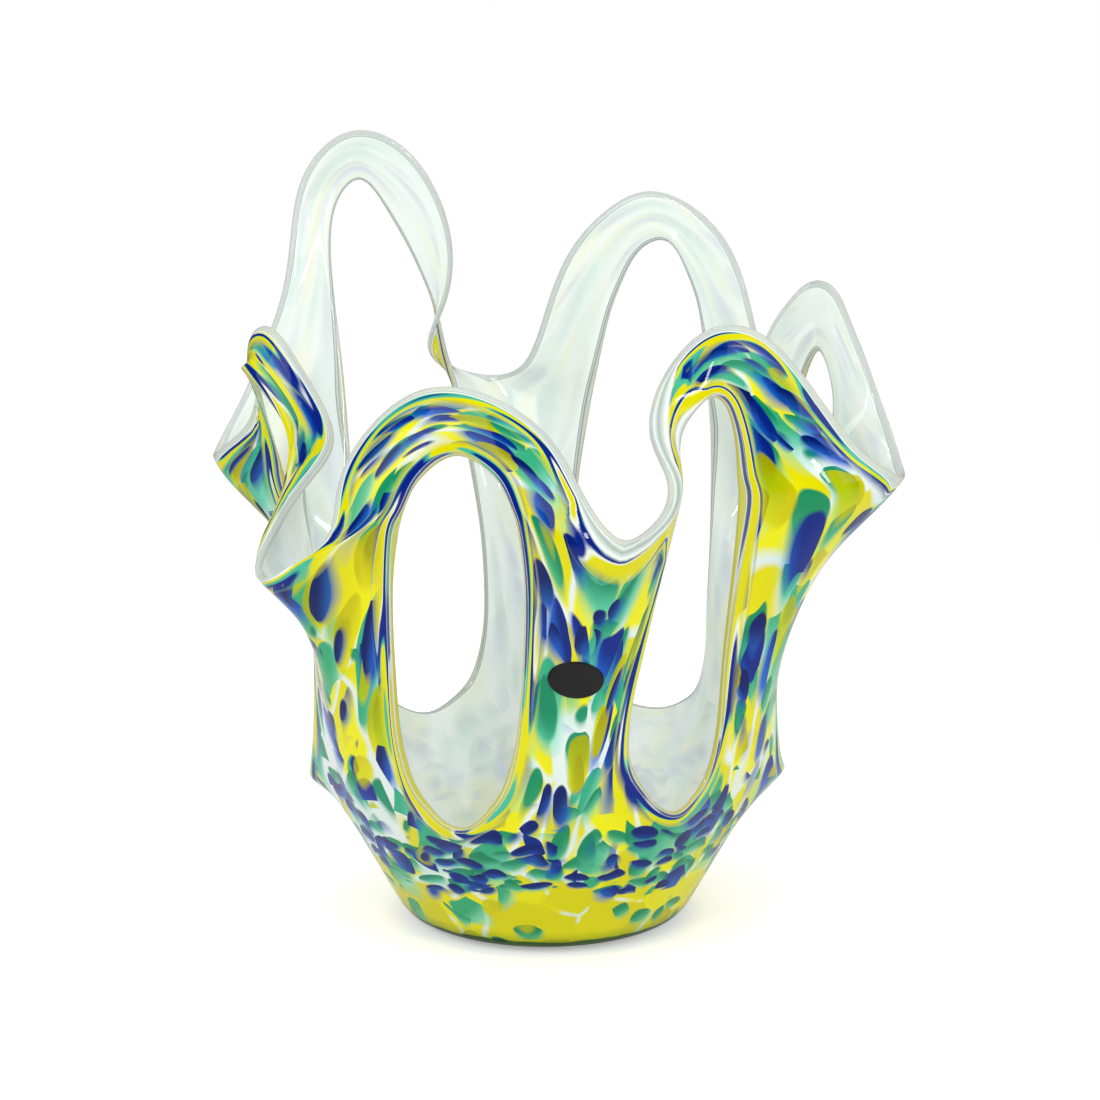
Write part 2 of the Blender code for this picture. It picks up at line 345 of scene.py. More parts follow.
LEFT = Arch(
    lip=Place(161.5, 51, 131.5),
    rim=(
        Place(168, 33, 144), Place(168.5, 23, 155), Place(170, 27.5, 178.5),
        Place(175, 19.5, 190.5),
        Place(183, 1, 173), Place(192.5, -9, 147), Place(200.5, 11, 130),
    ),
    window=(
        Place(178, 4, 10.5),
        Place(188, 2.5, 37), Place(190.5, 1.5, 77), Place(192, 3.5, 126), Place(187, 7, 148.5),
        Place(177.5, 28, 173.5),
        Place(168.5, 22, 151), Place(166.5, 14, 121), Place(165.5, 3, 56), Place(168.5, 4, 20.5),
    ),
)

ARCHES = (FRONT_LEFT, FRONT_RIGHT, RIGHT, BACK_RIGHT, BACK_LEFT, LEFT)


@dataclass(frozen=True)
class Spans:
    """Number of cage spans along each line of the vase."""

    sill: int = 5
    pillar: int = 6
    rim: int = 12
    bowl: int = 3
    heel: int = 2

    @property
    def rim_start(self) -> int:
        """Column of a window's ring at which the head begins."""
        return self.sill + self.pillar

    def over_window(self, column: int) -> bool:
        """Whether a column of a window's ring runs over its head."""
        return self.rim_start < column < self.rim_start + self.rim


@dataclass(frozen=True)
class PulledForm:
    """The finished vase: bowl, pillars, lips and arches, with the sizes of the CAD model."""

    foot_radius: float = 44.0
    heel_radius: float = 58.5
    heel_height: float = 7.0
    heel_round: float = 12.0
    shoulder_radius: float = 78.0
    shoulder_height: float = 42.0
    waist_radius: float = 90.0
    waist_rise: float = 30.0
    lip_lean_share: float = 0.65
    lip_lean_power: float = 1.7
    lip_curl_power: float = 8.0
    lip_turn_power: float = 1.5
    band_crown: float = 2.0
    spans: Spans = Spans()
    smooth: Smooth = Smooth()

    def point(self, place: Place) -> Vector:
        """Where a place lies, in millimetres."""
        reach = self.waist_radius + place.out
        return around_axis(place.bearing, reach, self.shoulder_height + place.rise)

    def rim(self) -> list[Vector]:
        """The whole rim as one closed row.

        Returns:
            Cage points, starting at the first arch's lip.
        """
        loop: list[Vector] = []
        for arch in ARCHES:
            loop.append(self.point(arch.lip))
            loop.extend(self.point(place) for place in arch.rim)
        per_arch = len(loop) // len(ARCHES)
        row: list[Vector] = []
        for start in range(0, len(loop), per_arch):
            row.extend(self.smooth.stretch(loop, start, start + per_arch, self.spans.rim)[:-1])
        return self.smooth.held_out(row)

    def window(self, arch: Arch) -> list[Vector]:
        """The edge of a window as one closed row: sill, far side, head and near side.

        Args:
            arch: the arch over the window.

        Returns:
            Cage points, starting at the near corner of the sill.
        """
        loop = [self.point(place) for place in arch.window]
        turns = (NEAR_CORNER, FAR_CORNER, FAR_SPRING, NEAR_SPRING, NEAR_CORNER)
        counts = (self.spans.sill, self.spans.pillar, self.spans.rim, self.spans.pillar)
        row: list[Vector] = []
        for first, last, count in zip(turns, turns[1:], counts):
            row.extend(self.smooth.stretch(loop, first, last, count)[:-1])
        return self.smooth.held_out(row)

    def flared(self, share: float) -> float:
        """How far a lip reaches out at a share of its rise: a slow lean, then a curl."""
        lean = self.lip_lean_share * share ** self.lip_lean_power
        return lean + (1.0 - self.lip_lean_share) * share ** self.lip_curl_power

    def pillar(self, lip: Vector, before: Sequence[Vector], after: Sequence[Vector]) -> list[Vector]:
        """Middle of a pillar, from the bowl's shoulder up to the tip of its lip.

        Args:
            lip: the tip of the lip.
            before, after: the edges of the windows on the two sides of the pillar.

        Returns:
            One point for each span of the pillar, and the lip.
        """
        spans = self.spans
        far_side = before[spans.sill:spans.rim_start + 1]
        near_side = [after[0]] + list(after[:-spans.pillar - 1:-1])
        waist_height = self.shoulder_height + self.waist_rise
        line = []
        for step in range(spans.pillar + 1):
            height = blend(self.shoulder_height, lip.z, step / spans.pillar)
            start = bearing_of(far_side[step])
            bearing = start + turn_between(start, bearing_of(near_side[step])) / 2.0
            if height <= waist_height:
                swell = math.sin((height - self.shoulder_height) / self.waist_rise * math.pi / 2.0)
                reach = blend(self.shoulder_radius, self.waist_radius, swell)
            else:
                flare = (height - waist_height) / (lip.z - waist_height)
                bearing += turn_between(bearing, bearing_of(lip)) * flare ** self.lip_turn_power
                reach = blend(self.waist_radius, reach_of(lip), self.flared(flare))
            line.append(around_axis(bearing, reach, height))
        return line

    def profile(self) -> list[tuple[float, float]]:
        """The bowl's rows, from the shoulder down to inside the foot.

        Returns:
            Reach and height of each row.
        """
        rows = []
        for step in range(self.spans.bowl):
            share = 1.0 - step / self.spans.bowl
            reach = blend(self.heel_radius, self.shoulder_radius, share)
            rows.append((reach, blend(self.heel_height, self.shoulder_height, share)))
        for step in range(self.spans.heel + 1):
            angle = math.pi / 2.0 * step / self.spans.heel
            reach = self.heel_radius - self.heel_round * (1.0 - math.cos(angle))
            rows.append((reach, self.heel_height * (1.0 - math.sin(angle))))
        rows.append((self.foot_radius, 0.0))
        rows.append((self.foot_radius / 2.0, 0.0))
        return rows

    def middle(self, window: Sequence[Vector], outer: Sequence[Vector]) -> list[Vector]:
        """The row of points half way between a window's edge and what is round it.

        Args:
            window: the window's edge.
            outer: the points round it: sill, far pillar, rim and near pillar.

        Returns:
            One point for each column, rounded out where the band bends over a pillar.
        """
        row = []
        for column, (inside, outside) in enumerate(zip(window, outer)):
            turn = turn_between(bearing_of(inside), bearing_of(outside))
            over_sill = column <= self.spans.sill
            over_window = self.spans.over_window(column)
            # A quarter round over a pillar passes outside the straight middle of its ends
            rounding = 0.5 if over_sill or over_window else math.sin(math.pi / 4.0)
            reach = blend(reach_of(inside), reach_of(outside), rounding)
            if over_window:
                reach += self.band_crown
            height = blend(inside.z, outside.z, 0.5)
            row.append(around_axis(bearing_of(inside) + turn / 2.0, reach, height))
        return row


@dataclass(frozen=True)
class BlownForm:
    """The bubble before it was opened and pulled: a plain tube on a tapered bottom.

    Its lips stand at even bearings, and its windows are six slits. Heights are counted from the
    bowl's shoulder.
    """

    radius: float = 60.0
    lip_height: float = 56.0
    crest_height: float = 88.0
    slit_sill: float = 12.0
    slit_head: float = 33.0
    slit_rounding: float = 4.0
    slit_half_turn: float = 7.5
    bowl_squash: float = 0.7
    spans: Spans = Spans()

    @property
    def sector(self) -> float:
        """Turn from one lip to the next, in degrees."""
        return 360.0 / len(ARCHES)

    def ring(self, count: int, reach: float, height: float) -> list[Vector]:
        """Even points round the axis at one height."""
        return [around_axis(360.0 * step / count, reach, height) for step in range(count)]

    def rim(self) -> list[Vector]:
        """The rim: low at the lips and high over the slits, where the glass for the arches is.

        Returns:
            As many points as the pulled rim has.
        """
        row = []
        for step in range(self.spans.rim * len(ARCHES)):
            lift = math.sin(math.pi * step / self.spans.rim) ** 2
            height = blend(self.lip_height, self.crest_height, lift)
            row.append(around_axis(self.sector * step / self.spans.rim, self.radius, height))
        return row

    def pillar(self, index: int) -> list[Vector]:
        """Middle of a pillar, from the shoulder to the lip's tip.

        Args:
            index: number of the pillar, counted as the arches are.

        Returns:
            As many points as the pulled pillar has.
        """
        steps = range(self.spans.pillar + 1)
        heights = [self.lip_height * step / self.spans.pillar for step in steps]
        return [around_axis(self.sector * index, self.radius, height) for height in heights]

    def window(self, index: int) -> list[Vector]:
        """The edge of a slit as one closed row: sill, far side, head and near side.

        Args:
            index: number of the slit, counted as the arches are.

        Returns:
            As many points as the pulled window's edge has.
        """
        centre = self.sector * (index + 0.5)
        half = self.slit_half_turn
        row = []
        for step in range(self.spans.sill):
            share = step / self.spans.sill
            dip = self.slit_rounding * math.sin(math.pi * share)
            row.append((blend(-half, half, share), self.slit_sill - dip))
        for step in range(self.spans.pillar):
            share = step / self.spans.pillar
            row.append((half, blend(self.slit_sill, self.slit_head, share)))
        for step in range(self.spans.rim):
            angle = math.pi * step / self.spans.rim
            lift = self.slit_rounding * math.sin(angle)
            row.append((half * math.cos(angle), self.slit_head + lift))
        for step in range(self.spans.pillar):
            share = step / self.spans.pillar
            row.append((-half, blend(self.slit_head, self.slit_sill, share)))
        return [around_axis(centre + turn, self.radius, height) for turn, height in row]

    def middle(self, window: Sequence[Vector], outer: Sequence[Vector]) -> list[Vector]:
        """The row half way between a slit's edge and what is round it.

        Args:
            window: the slit's edge.
            outer: the points round it.

        Returns:
            One point for each column.
        """
        row = []
        for inside, outside in zip(window, outer):
            turn = turn_between(bearing_of(inside), bearing_of(outside))
            height = blend(inside.z, outside.z, 0.5)
            row.append(around_axis(bearing_of(inside) + turn / 2.0, self.radius, height))
        return row


class Cage:
    """Coarse quads of the vase's outer skin, each point with its pulled and blown place."""

    def __init__(self, pulled_form: PulledForm, blown_form: BlownForm) -> None:
        """Lays out all rows and strips.

        Args:
            pulled_form: gives the shape.
            blown_form: gives the same rows in the plain bubble.
        """
        self.pulled: list[Vector] = []
        self.blown: list[Vector] = []
        self.faces: list[tuple[int, ...]] = []
        self.form = pulled_form
        self.bubble = blown_form
        self._lay_out()

    def _add_row(self, pulled: Sequence[Vector], blown: Sequence[Vector]) -> list[int]:
        """Adds points.

        Args:
            pulled, blown: their two places.

        Returns:
            Their numbers.
        """
        first = len(self.pulled)
        self.pulled.extend(pulled)
        self.blown.extend(blown)
        return list(range(first, len(self.pulled)))

    def _add_strip(self, upper: Sequence[int], lower: Sequence[int]) -> None:
        """Adds quads between two closed rows.

        Args:
            upper, lower: numbers of the rows' points; the quads face out if upper is above.
        """
        for index in range(len(upper)):
            after = (index + 1) % len(upper)
            self.faces.append((lower[index], lower[after], upper[after], upper[index]))

    def _bowl_rows(self, roots: Sequence[Vector]) -> list[list[int]]:
        """Adds the rows of the bowl.

        Args:
            roots: the roots of the pillars, between which each row is spaced evenly.

        Returns:
            The numbers of each row's points, from the shoulder down.
        """
        form, bubble = self.form, self.bubble
        scale = bubble.radius / form.shoulder_radius
        rows = []
        for reach, height in form.profile():
            row = []
            for start, end in zip(roots, [*roots[1:], roots[0]]):
                turn = turn_between(bearing_of(start), bearing_of(end))
                for step in range(form.spans.sill):
                    bearing = bearing_of(start) + turn * step / form.spans.sill
                    row.append(around_axis(bearing, reach, height))
            depth = (height - form.shoulder_height) * bubble.bowl_squash
            rows.append(self._add_row(row, bubble.ring(len(row), reach * scale, depth)))
        return rows

    def _lay_out(self) -> None:
        """Builds the bowl, the pillars and the band round each window."""
        form, bubble, spans = self.form, self.bubble, self.form.spans
        rim = form.rim()
        edges = [form.window(arch) for arch in ARCHES]
        count = len(ARCHES)
        lines = [form.pillar(rim[i * spans.rim], edges[i - 1], edges[i]) for i in range(count)]
        rim_row = self._add_row(rim, bubble.rim())
        bowl = self._bowl_rows([line[0] for line in lines])
        pillars = []
        for index, line in enumerate(lines):
            between = self._add_row(line[1:-1], bubble.pillar(index)[1:-1])
            pillars.append([bowl[0][index * spans.sill], *between, rim_row[index * spans.rim]])
        for index, edge in enumerate(edges):
            near, far = pillars[index], pillars[(index + 1) % count]
            sill = bowl[0][index * spans.sill:(index + 1) * spans.sill]
            over = rim_row[index * spans.rim + 1:(index + 1) * spans.rim]
            outer = sill + far + over[::-1] + near[:0:-1]
            slit = bubble.window(index)
            window_row = self._add_row(edge, slit)
            pulled_middle = form.middle(edge, [self.pulled[corner] for corner in outer])
            blown_middle = bubble.middle(slit, [self.blown[corner] for corner in outer])
            middle_row = self._add_row(pulled_middle, blown_middle)
            self._add_strip(window_row, middle_row)
            self._add_strip(middle_row, outer)
        for upper, lower in zip(bowl, bowl[1:]):
            self._add_strip(upper, lower)
        self.faces.append(tuple(reversed(bowl[-1])))

    def add(self, name: str, points: Sequence[Vector]) -> Object:
        """Adds the cage to the scene.

        Args:
            name: the object's name.
            points: the cage's points, in one of their two places.

        Returns:
            The object.
        """
        data = bpy.data.meshes.new(name)
        data.from_pydata([point * METRES_PER_MM for point in points], [], self.faces)
        return add_object(name, data)


def linear(colour: str, alpha: float = 1.0) -> tuple[float, float, float, float]:
    """Linear colour of an sRGB one.

    Args:
        colour: hex string such as #C9D6CF.
        alpha: how solid the colour is.

    Returns:
        Red, green, blue and alpha from 0 to 1.
    """
    channels = []
    for start in (1, 3, 5):
        value = int(colour[start:start + 2], 16) / 255.0
        channels.append(value / 12.92 if value <= 0.04045 else ((value + 0.055) / 1.055) ** 2.4)
    return (*channels, alpha)


def set_inputs(node: Node, inputs: dict[Any, Any]) -> None:
    """Gives a shader node's inputs their values.

    Args:
        node: the node.
        inputs: values or other nodes' sockets, by the input's name or number.
    """
    for key, value in inputs.items():
        if isinstance(value, NodeSocket):
            node.id_data.links.new(value, node.inputs[key])
        else:
            node.inputs[key].default_value = value


def add_node(tree: NodeTree, kind: str, inputs: dict[Any, Any] | None = None,
             **settings: Any) -> Node:
    """Adds a shader node.

    Args:
        tree: the node tree.
        kind: the node's type name.
        inputs: values or other nodes' sockets, by the input's name or number.
        settings: the node's own properties.

    Returns:
        The new node.
    """
    node = tree.nodes.new(kind)
    for name, value in settings.items():
        setattr(node, name, value)
    set_inputs(node, inputs or {})
    return node


def new_material(name: str) -> tuple[Material, Node]:
    """Makes a material.

    Args:
        name: its name.

    Returns:
        The material and its Principled shader.
    """
    material = bpy.data.materials.new(name)
    material.use_nodes = True
    return material, material.node_tree.nodes["Principled BSDF"]


# Inputs and outputs of a colour Mix node, whose names it shares with its other types
MIX_FACTOR, MIX_A, MIX_B, MIX_RESULT = 0, 6, 7, 2


def set_stops(ramp: Node, stops: ColourStops) -> None:
    """Gives a colour ramp its stops.

    Args:
        ramp: the ramp's node, as new.
        stops: positions from 0 to 1 with their colours.
    """
    elements = ramp.color_ramp.elements
    while len(elements) < len(stops):
        elements.new(1.0)
    for element, (position, colour) in zip(elements, stops):
        element.position = position
        element.color = colour


@dataclass(frozen=True)
class Zones:
    """Shares of the surface that a kind of chip covers, by height in the blown form."""

    foot: float
    sills: float
    pulled: float
    foot_at: float = -13.0
    sills_low: float = -6.0
    sills_high: float = 5.0
    pulled_at: float = 11.0

    def share(self, tree: NodeTree, height: NodeSocket) -> NodeSocket:
        """Adds the share at a height to a material.

        Args:
            tree: the material's nodes.
            height: height in the blown form, in millimetres.

        Returns:
            The share, from 0 to 1.
        """
        span = self.pulled_at - self.foot_at
        along = add_node(tree, "ShaderNodeMapRange", {
            "Value": height, "From Min": self.foot_at, "From Max": self.pulled_at,
        }).outputs[0]
        ramp = add_node(tree, "ShaderNodeValToRGB", {0: along})
        heights = (self.foot_at, self.sills_low, self.sills_high, self.pulled_at)
        shares = (self.foot, self.sills, self.sills, self.pulled)
        set_stops(ramp, [
            ((at - self.foot_at) / span, (share, share, share, 1.0))
            for at, share in zip(heights, shares)
        ])
        return ramp.outputs["Color"]


@dataclass(frozen=True)
class ChipLayer:
    """Chips of one coloured glass, melted flat on the bubble and drawn out with it.

    Each chip is deep and crisp at the end where it was pressed in and thins out to the other,
    where what lies below shows through. Cells are millimetres of the blown form, and all other
    lengths are shares of a cell. shift sets each kind's chips apart from the other kinds'.
    """

    deep: str
    pale: str
    cell: float
    zones: Zones
    shift: float
    tall: float = 1.0
    smallest: float = 0.5
    largest: float = 0.85
    lean: tuple[float, float, float] = (0.3, 0.3, -0.9)
    crisp: float = 0.04
    soft: float = 0.4
    turn_at: float = 0.3
    stain: float = 0.3
    gap: float = 0.0

    def paint(self, tree: NodeTree, place: NodeSocket,
              height: NodeSocket, under: NodeSocket,
              blur: float) -> NodeSocket:
        """Lays the chips over a colour.

        Args:
            tree: the material's nodes.
            place: place in the blown form, in millimetres.
            height: its height over the bowl's shoulder.
            under: the colour below the chips.
            blur: how much softer the chips look, as a share of a cell.

        Returns:
            The colour with the chips on it.
        """
        per_cell = (1.0 / self.cell, 1.0 / self.cell, 1.0 / (self.cell * self.tall))
        in_cells = add_node(tree, "ShaderNodeVectorMath", {
            0: place, 1: per_cell, 2: (self.shift,) * 3,
        }, operation="MULTIPLY_ADD").outputs[0]
        cells = add_node(tree, "ShaderNodeTexVoronoi", {
            "Vector": in_cells, "Scale": 1.0, "Randomness": 1.0,
        })
        thinness = self._thinness(tree, in_cells, cells)
        softness = add_node(tree, "ShaderNodeMapRange", {
            "Value": thinness, "To Min": self.crisp + blur, "To Max": self.soft + blur,
        }).outputs[0]
        cover = add_node(tree, "ShaderNodeMath", {
            0: self._inside(tree, in_cells, cells, height), 1: softness,
        }, operation="DIVIDE", use_clamp=True).outputs[0]
        glass = add_node(tree, "ShaderNodeMix", {
            MIX_FACTOR: thinness, MIX_A: linear(self.deep), MIX_B: linear(self.pale),
        }, data_type="RGBA").outputs[MIX_RESULT]
        stained = add_node(tree, "ShaderNodeMix", {
            MIX_FACTOR: self.stain, MIX_A: glass, MIX_B: under,
        }, data_type="RGBA", blend_type="MULTIPLY").outputs[MIX_RESULT]
        return add_node(tree, "ShaderNodeMix", {
            MIX_FACTOR: cover, MIX_A: under, MIX_B: stained,
        }, data_type="RGBA").outputs[MIX_RESULT]

    def _thinness(self, tree: NodeTree, in_cells: NodeSocket,
                  cells: Node) -> NodeSocket:
        """Adds how thin a chip is, from 0 at its deep end to 1 at its thin one.

        Args:
            tree: the material's nodes.
            in_cells: the place, in cells.
            cells: the Voronoi cells that the chips lie in.

        Returns:
            The thinness.
        """
        from_middle = add_node(tree, "ShaderNodeVectorMath", {
            0: in_cells, 1: cells.outputs["Position"],
        }, operation="SUBTRACT").outputs[0]
        towards_thin = add_node(tree, "ShaderNodeVectorMath", {
            0: from_middle, 1: self.lean,
        }, operation="DOT_PRODUCT").outputs["Value"]
        return add_node(tree, "ShaderNodeMapRange", {
            "Value": towards_thin, "From Min": -self.turn_at, "From Max": self.turn_at,
        }, interpolation_type="SMOOTHSTEP").outputs[0]

    def _inside(self, tree: NodeTree, in_cells: NodeSocket,
                cells: Node, height: NodeSocket) -> NodeSocket:
        """Adds how far a point lies inside a chip's rim, in cells, and below 0 outside it.

        Args:
            tree: the material's nodes.
            in_cells: the place, in cells.
            cells: the Voronoi cells that the chips lie in.
            height: height in the blown form, in millimetres, which sets the chips' share.

        Returns:
            The distance inside the rim.
        """
        chance = add_node(tree, "ShaderNodeSeparateColor", {"Color": cells.outputs["Color"]})
        picked = add_node(tree, "ShaderNodeMath", {
            0: chance.outputs["Red"], 1: self.zones.share(tree, height),
        }, operation="LESS_THAN").outputs[0]
        size = add_node(tree, "ShaderNodeMapRange", {
            "Value": chance.outputs["Green"], "To Min": self.smallest, "To Max": self.largest,
        }).outputs[0]
        radius = add_node(tree, "ShaderNodeMath", {0: size, 1: picked}, operation="MULTIPLY")
        inside = add_node(tree, "ShaderNodeMath", {
            0: radius.outputs[0], 1: cells.outputs["Distance"],
        }, operation="SUBTRACT").outputs[0]
        if not self.gap:
            return inside
        to_border = add_node(tree, "ShaderNodeTexVoronoi", {
            "Vector": in_cells, "Scale": 1.0, "Randomness": 1.0,
        }, feature="DISTANCE_TO_EDGE").outputs["Distance"]
        off_border = add_node(tree, "ShaderNodeMath", {
            0: to_border, 1: self.gap,
        }, operation="SUBTRACT").outputs[0]
        return add_node(tree, "ShaderNodeMath", {
            0: inside, 1: off_border,
        }, operation="MINIMUM").outputs[0]


BROAD_YELLOW = ChipLayer(
    deep="#DAD300", pale="#E8E30A", cell=14.0, zones=Zones(0.6, 0.75, 0.76), shift=127.1,
    smallest=0.7, largest=1.2, soft=0.08, stain=0.1, gap=0.01,
)
FOOT_YELLOW = ChipLayer(
    deep="#D4CC00", pale="#E2DC08", cell=21.0, zones=Zones(1.0, 0.25, 0.0), shift=214.7,
    smallest=0.8, largest=1.3, soft=0.05, stain=0.05, gap=0.004,
)
SOFT_GREEN = ChipLayer(
    deep="#34AA84", pale="#8ADAC2", cell=11.0, zones=Zones(0.15, 0.45, 0.75), shift=136.3,
    lean=(-0.5, 0.4, -0.7), soft=0.5, smallest=0.5, largest=0.8,
)
GREEN_CHIPS = ChipLayer(
    deep="#148E68", pale="#5CC8A6", cell=7.8, zones=Zones(0.1, 0.35, 0.6), shift=141.3,
    lean=(-0.5, -0.4, -0.7), smallest=0.42, largest=0.68,
)
SMALL_YELLOW = ChipLayer(
    deep="#CEC800", pale="#E4DE08", cell=8.4, zones=Zones(0.15, 0.15, 0.34), shift=164.5,
    soft=0.12, stain=0.5, smallest=0.4, largest=0.66,
)
BLUE_CHIPS = ChipLayer(
    deep="#00248C", pale="#1464D4", cell=8.2, zones=Zones(0.02, 0.4, 0.6), shift=147.3,
    lean=(0.5, -0.4, -0.8), smallest=0.45, largest=0.7,
)
MORE_BLUE = ChipLayer(
    deep="#001A6C", pale="#2064C8", cell=6.3, zones=Zones(0.03, 0.2, 0.38), shift=155.1,
    lean=(-0.4, 0.5, -0.7), smallest=0.42, largest=0.66,
)
SILL_GREEN = ChipLayer(
    deep="#1E8E68", pale="#6CCBAE", cell=9.0, zones=Zones(0.1, 0.75, 0.04), shift=180.7,
    tall=0.4, soft=0.5, smallest=0.45, largest=0.68,
)
SILL_BLUE = ChipLayer(
    deep="#001C78", pale="#1C5CBE", cell=8.4, zones=Zones(0.02, 0.8, 0.03), shift=195.3,
    tall=0.4, soft=0.4, smallest=0.42, largest=0.64,
)


@dataclass(frozen=True)
class ChipPattern:
    """All the chips on the white opal, the same from outside and, faintly, from inside."""

    opal: str = "#EBF0EC"
    thin_opal: str = "#C6DAD4"
    cloud: float = 16.0
    warp_cell: float = 9.0
    warp_reach: float = 2.2
    layers: tuple[ChipLayer, ...] = (
        BROAD_YELLOW, FOOT_YELLOW, SOFT_GREEN, SILL_GREEN, GREEN_CHIPS, BLUE_CHIPS,
        SMALL_YELLOW, MORE_BLUE, SILL_BLUE,
    )

    def paint(self, tree: NodeTree, blur: float = 0.0) -> NodeSocket:
        """Adds the pattern to a material.

        Args:
            tree: the material's nodes.
            blur: how much softer the chips look, as a share of their cells.

        Returns:
            The pattern's colour.
        """
        place = add_node(tree, "ShaderNodeAttribute", attribute_name=Reading.BLOWN).outputs["Vector"]
        height = add_node(tree, "ShaderNodeSeparateXYZ", {0: place}).outputs["Z"]
        noise = add_node(tree, "ShaderNodeTexNoise", {
            "Vector": place, "Scale": 1.0 / self.warp_cell, "Detail": 0.0,
        }).outputs["Color"]
        # Noise runs from 0 to 1 round a half, so twice its swing is the warp's reach either way
        from_even = add_node(tree, "ShaderNodeVectorMath", {
            0: noise, 1: (0.5, 0.5, 0.5),
        }, operation="SUBTRACT").outputs[0]
        warped = add_node(tree, "ShaderNodeVectorMath", {
            0: from_even, 1: (2.0 * self.warp_reach,) * 3, 2: place,
        }, operation="MULTIPLY_ADD").outputs[0]
        clouds = add_node(tree, "ShaderNodeTexNoise", {
            "Vector": place, "Scale": 1.0 / self.cloud, "Detail": 1.0,
        }).outputs["Fac"]
        colour = add_node(tree, "ShaderNodeMix", {
            MIX_FACTOR: clouds, MIX_A: linear(self.opal), MIX_B: linear(self.thin_opal),
        }, data_type="RGBA").outputs[MIX_RESULT]
        for layer in self.layers:
            colour = layer.paint(tree, warped, height, colour, blur)
        return colour


@dataclass(frozen=True)
class EdgeStreaks:
    """Colour sheared out into long lines beside an edge, as the pull leaves it there."""

    yellow: str = "#D8D200"
    blue: str = "#04207E"
    green: str = "#46B492"
    white: str = "#E6EEE8"
    line: float = 4.5
    run: float = 20.0
    starts_at: float = 1.0
    full_at: float = 1.5
    fades_at: float = 3.5
    ends_at: float = 7.0

    def paint(self, tree: NodeTree, depth: NodeSocket) -> NodeSocket:
        """Adds the lines to a material.

        Args:
            tree: the material's nodes.
            depth: distance from the edge, in millimetres.

        Returns:
            The lines' colour.
        """
        place = add_node(tree, "ShaderNodeAttribute", attribute_name=Reading.BLOWN).outputs["Vector"]
        across = add_node(tree, "ShaderNodeMath", {0: depth, 1: self.line}, operation="DIVIDE")
        along = add_node(tree, "ShaderNodeVectorMath", {
            0: place, 1: (1.0 / self.run,) * 3,
        }, operation="MULTIPLY").outputs[0]
        drawn = add_node(tree, "ShaderNodeTexNoise", {
            "Vector": along, "W": across.outputs[0], "Scale": 1.0, "Detail": 0.0,
        }, noise_dimensions="4D").outputs["Fac"]
        ramp = add_node(tree, "ShaderNodeValToRGB", {0: drawn})
        set_stops(ramp, self._bands())
        return ramp.outputs["Color"]

    def _bands(self) -> ColourStops:
        """The lines' colours over the values of the noise, which seldom leave 0.3 to 0.7.

        Returns:
            The ramp's stops.
        """
        white, yellow = linear(self.white), linear(self.yellow)
        blue, green = linear(self.blue), linear(self.green)
        return [
            (0.33, blue), (0.35, green), (0.39, green), (0.41, yellow), (0.50, yellow),
            (0.512, green), (0.53, blue), (0.60, blue), (0.615, white), (0.64, yellow),
        ]

    def over(self, tree: NodeTree, depth: NodeSocket,
             colour: NodeSocket) -> NodeSocket:
        """Lays the lines over a colour.

        Args:
            tree: the material's nodes.
            depth: distance from the edge, in millimetres.
            colour: the colour below the lines.

        Returns:
            The colour with the lines on it.
        """
        begins = add_node(tree, "ShaderNodeMapRange", {
            "Value": depth, "From Min": self.starts_at, "From Max": self.full_at,
        }).outputs[0]
        lasts = add_node(tree, "ShaderNodeMapRange", {
            "Value": depth, "From Min": self.fades_at, "From Max": self.ends_at,
            "To Min": 1.0, "To Max": 0.0,
        }).outputs[0]
        share = add_node(tree, "ShaderNodeMath", {0: begins, 1: lasts}, operation="MULTIPLY")
        return add_node(tree, "ShaderNodeMix", {
            MIX_FACTOR: share.outputs[0], MIX_A: colour, MIX_B: self.paint(tree, depth),
        }, data_type="RGBA").outputs[MIX_RESULT]


